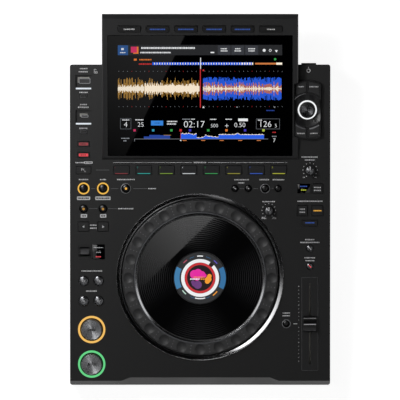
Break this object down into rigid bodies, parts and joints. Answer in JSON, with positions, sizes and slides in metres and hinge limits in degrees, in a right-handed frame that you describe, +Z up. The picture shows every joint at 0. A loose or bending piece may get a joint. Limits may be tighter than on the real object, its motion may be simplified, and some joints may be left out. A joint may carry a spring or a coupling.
{
  "type": "tabletop dj media player",
  "caption": "Wedge-shaped tabletop DJ media player with a jog wheel, a tilted touch display on an overhanging rear housing, transport keys and a tempo fader.",
  "frame": {"origin": "on the table under the middle of the overall footprint, at the bottom of the feet", "axes": "+Z up, -Y towards the user (front edge), +X to the user's right"},
  "size_m": [0.329, 0.4686, 0.1225],
  "materials": {
    "case_plastic": "fine satin texture",
    "tray_steel": "powder coat",
    "rear_panel_steel": "powder coat",
    "bezel_plastic": "satin",
    "display_glass": "cover glass over a dark panel",
    "jog_plastic": "satin with a bright accent ring",
    "jog_gloss": "gloss, fine circular grooves",
    "trim_plastic": "semi gloss",
    "bearing_steel": "ground",
    "spun_metal": "spun face",
    "key_plastic": "satin",
    "key_rubber": "translucent smoke silicone",
    "lens_plastic": "clear diffusing",
    "circuit_board": "solder mask",
    "port_steel": "plated",
    "foot_rubber": "matt",
    "socket_plastic": "moulded"
  },
  "bodies": {
    "deck": {"top_cover": "case_plastic", "base_tray": "tray_steel", "rear_plate": "rear_panel_steel", "display_bezel": "bezel_plastic", "display_rear_cover": "case_plastic", "touch_display": "display_glass", "browse_pod": "jog_gloss", "jog_trim_ring": "trim_plastic", "jog_base": "case_plastic", "jog_display": "display_glass", "indicator_lenses": "lens_plastic", "usb_ports": "port_steel", "fader_bezel": "case_plastic", "fader_body": "port_steel", "panel_board": "circuit_board", "inner_boards": "circuit_board", "rear_jacks": "port_steel", "lan_jack": "port_steel", "mains_inlet": "socket_plastic", "rubber_feet": "foot_rubber", "base_screws": "bearing_steel"},
    "jog_wheel": {"jog_platter": "jog_plastic", "jog_top_disc": "jog_gloss", "jog_bearing": "bearing_steel", "jog_code_wheel": "socket_plastic"},
    "hot_cue_button_1": {"hot_cue_button_1": "key_rubber"},
    "hot_cue_button_2": {"hot_cue_button_2": "key_rubber"},
    "hot_cue_button_3": {"hot_cue_button_3": "key_rubber"},
    "hot_cue_button_4": {"hot_cue_button_4": "key_rubber"},
    "hot_cue_button_5": {"hot_cue_button_5": "key_rubber"},
    "hot_cue_button_6": {"hot_cue_button_6": "key_rubber"},
    "hot_cue_button_7": {"hot_cue_button_7": "key_rubber"},
    "hot_cue_button_8": {"hot_cue_button_8": "key_rubber"},
    "cue_button": {"cue_button": "spun_metal"},
    "play_button": {"play_button": "spun_metal"},
    "loop_in_button": {"loop_in_button": "key_plastic"},
    "loop_out_button": {"loop_out_button": "key_plastic"},
    "reloop_button": {"reloop_button": "key_plastic"},
    "beat_loop_buttons": {"beat_loop_buttons": "key_plastic"},
    "beat_jump_buttons": {"beat_jump_buttons": "key_plastic"},
    "track_back_button": {"track_back_button": "spun_metal"},
    "track_forward_button": {"track_forward_button": "spun_metal"},
    "search_back_button": {"search_back_button": "spun_metal"},
    "search_forward_button": {"search_forward_button": "spun_metal"},
    "beat_sync_button": {"beat_sync_button": "key_plastic"},
    "master_button": {"master_button": "key_plastic"},
    "key_sync_button": {"key_sync_button": "key_plastic"},
    "jog_mode_button": {"jog_mode_button": "key_plastic"},
    "tempo_buttons": {"tempo_buttons": "key_plastic"},
    "memory_buttons": {"memory_buttons": "key_plastic"},
    "browse_buttons": {"browse_buttons": "key_plastic"},
    "side_buttons": {"side_buttons": "key_plastic"},
    "display_buttons": {"display_buttons": "key_plastic"},
    "power_button": {"power_button": "key_plastic"},
    "browse_shaft": {"browse_shaft": "bearing_steel"},
    "browse_knob": {"browse_knob": "key_plastic"},
    "vinyl_speed_knob": {"vinyl_speed_knob": "key_plastic"},
    "jog_adjust_knob": {"jog_adjust_knob": "key_plastic"},
    "tempo_fader_cap": {"tempo_fader_cap": "key_plastic"},
    "direction_lever": {"direction_lever": "key_plastic"}
  },
  "joints": [
    {"name": "jog_spin", "type": "hinge", "parent": "deck", "child": "jog_wheel", "pos_m": [0, -0.09755, 0.06396], "axis": [0, -0.0872, 0.9962], "continuous": true},
    {"name": "hot_cue_1_press", "type": "slide", "parent": "deck", "child": "hot_cue_button_1", "axis": [0, 0.0872, -0.9962], "range_m": [0, 0.0012], "stiffness_N_per_m": 400},
    {"name": "hot_cue_2_press", "type": "slide", "parent": "deck", "child": "hot_cue_button_2", "axis": [0, 0.0872, -0.9962], "range_m": [0, 0.0012], "stiffness_N_per_m": 400},
    {"name": "hot_cue_3_press", "type": "slide", "parent": "deck", "child": "hot_cue_button_3", "axis": [0, 0.0872, -0.9962], "range_m": [0, 0.0012], "stiffness_N_per_m": 400},
    {"name": "hot_cue_4_press", "type": "slide", "parent": "deck", "child": "hot_cue_button_4", "axis": [0, 0.0872, -0.9962], "range_m": [0, 0.0012], "stiffness_N_per_m": 400},
    {"name": "hot_cue_5_press", "type": "slide", "parent": "deck", "child": "hot_cue_button_5", "axis": [0, 0.0872, -0.9962], "range_m": [0, 0.0012], "stiffness_N_per_m": 400},
    {"name": "hot_cue_6_press", "type": "slide", "parent": "deck", "child": "hot_cue_button_6", "axis": [0, 0.0872, -0.9962], "range_m": [0, 0.0012], "stiffness_N_per_m": 400},
    {"name": "hot_cue_7_press", "type": "slide", "parent": "deck", "child": "hot_cue_button_7", "axis": [0, 0.0872, -0.9962], "range_m": [0, 0.0012], "stiffness_N_per_m": 400},
    {"name": "hot_cue_8_press", "type": "slide", "parent": "deck", "child": "hot_cue_button_8", "axis": [0, 0.0872, -0.9962], "range_m": [0, 0.0012], "stiffness_N_per_m": 400},
    {"name": "cue_press", "type": "slide", "parent": "deck", "child": "cue_button", "axis": [0, 0.0872, -0.9962], "range_m": [0, 0.0012], "stiffness_N_per_m": 400},
    {"name": "play_press", "type": "slide", "parent": "deck", "child": "play_button", "axis": [0, 0.0872, -0.9962], "range_m": [0, 0.0012], "stiffness_N_per_m": 400},
    {"name": "loop_in_press", "type": "slide", "parent": "deck", "child": "loop_in_button", "axis": [0, 0.0872, -0.9962], "range_m": [0, 0.0012], "stiffness_N_per_m": 400},
    {"name": "loop_out_press", "type": "slide", "parent": "deck", "child": "loop_out_button", "axis": [0, 0.0872, -0.9962], "range_m": [0, 0.0012], "stiffness_N_per_m": 400},
    {"name": "reloop_press", "type": "slide", "parent": "deck", "child": "reloop_button", "axis": [0, 0.0872, -0.9962], "range_m": [0, 0.0012], "stiffness_N_per_m": 400},
    {"name": "beat_loop_press", "type": "slide", "parent": "deck", "child": "beat_loop_buttons", "axis": [0, 0.0872, -0.9962], "range_m": [0, 0.0012], "stiffness_N_per_m": 400},
    {"name": "beat_jump_press", "type": "slide", "parent": "deck", "child": "beat_jump_buttons", "axis": [0, 0.0872, -0.9962], "range_m": [0, 0.0012], "stiffness_N_per_m": 400},
    {"name": "track_back_press", "type": "slide", "parent": "deck", "child": "track_back_button", "axis": [0, 0.0872, -0.9962], "range_m": [0, 0.0012], "stiffness_N_per_m": 400},
    {"name": "track_forward_press", "type": "slide", "parent": "deck", "child": "track_forward_button", "axis": [0, 0.0872, -0.9962], "range_m": [0, 0.0012], "stiffness_N_per_m": 400},
    {"name": "search_back_press", "type": "slide", "parent": "deck", "child": "search_back_button", "axis": [0, 0.0872, -0.9962], "range_m": [0, 0.0012], "stiffness_N_per_m": 400},
    {"name": "search_forward_press", "type": "slide", "parent": "deck", "child": "search_forward_button", "axis": [0, 0.0872, -0.9962], "range_m": [0, 0.0012], "stiffness_N_per_m": 400},
    {"name": "beat_sync_press", "type": "slide", "parent": "deck", "child": "beat_sync_button", "axis": [0, 0.0872, -0.9962], "range_m": [0, 0.0012], "stiffness_N_per_m": 400},
    {"name": "master_press", "type": "slide", "parent": "deck", "child": "master_button", "axis": [0, 0.0872, -0.9962], "range_m": [0, 0.0012], "stiffness_N_per_m": 400},
    {"name": "key_sync_press", "type": "slide", "parent": "deck", "child": "key_sync_button", "axis": [0, 0.0872, -0.9962], "range_m": [0, 0.0012], "stiffness_N_per_m": 400},
    {"name": "jog_mode_press", "type": "slide", "parent": "deck", "child": "jog_mode_button", "axis": [0, 0.0872, -0.9962], "range_m": [0, 0.0012], "stiffness_N_per_m": 400},
    {"name": "tempo_press", "type": "slide", "parent": "deck", "child": "tempo_buttons", "axis": [0, 0.0872, -0.9962], "range_m": [0, 0.0012], "stiffness_N_per_m": 400},
    {"name": "memory_press", "type": "slide", "parent": "deck", "child": "memory_buttons", "axis": [0, 0.0872, -0.9962], "range_m": [0, 0.0012], "stiffness_N_per_m": 400},
    {"name": "browse_press", "type": "slide", "parent": "deck", "child": "browse_buttons", "axis": [0, 0.0872, -0.9962], "range_m": [0, 0.0012], "stiffness_N_per_m": 400},
    {"name": "side_press", "type": "slide", "parent": "deck", "child": "side_buttons", "axis": [0, 0.0872, -0.9962], "range_m": [0, 0.0012], "stiffness_N_per_m": 400},
    {"name": "display_press", "type": "slide", "parent": "deck", "child": "display_buttons", "axis": [0, 0.225, -0.9744], "range_m": [0, 0.0012], "stiffness_N_per_m": 400},
    {"name": "power_press", "type": "slide", "parent": "deck", "child": "power_button", "axis": [0, -1, 0], "range_m": [0, 0.0018], "stiffness_N_per_m": 400},
    {"name": "browse_push", "type": "slide", "parent": "deck", "child": "browse_shaft", "axis": [0, 0.0872, -0.9962], "range_m": [0, 0.001], "stiffness_N_per_m": 500},
    {"name": "browse_spin", "type": "hinge", "parent": "browse_shaft", "child": "browse_knob", "pos_m": [0.1354, 0.11405, 0.08247], "axis": [0, -0.0872, 0.9962], "continuous": true},
    {"name": "vinyl_speed_turn", "type": "hinge", "parent": "deck", "child": "vinyl_speed_knob", "pos_m": [0.1388, 0.03755, 0.07578], "axis": [0, -0.0872, 0.9962], "range_deg": [-150, 150]},
    {"name": "jog_adjust_turn", "type": "hinge", "parent": "deck", "child": "jog_adjust_knob", "pos_m": [0.0868, -0.01335, 0.07133], "axis": [0, -0.0872, 0.9962], "range_deg": [-150, 150]},
    {"name": "tempo_slide", "type": "slide", "parent": "deck", "child": "tempo_fader_cap", "axis": [0, 0.9962, 0.0872], "range_m": [-0.0475, 0.0475]},
    {"name": "direction_tilt", "type": "hinge", "parent": "deck", "child": "direction_lever", "pos_m": [-0.1458, -0.06501, 0.05717], "axis": [1, 0, 0], "range_deg": [-12, 12]}
  ]
}
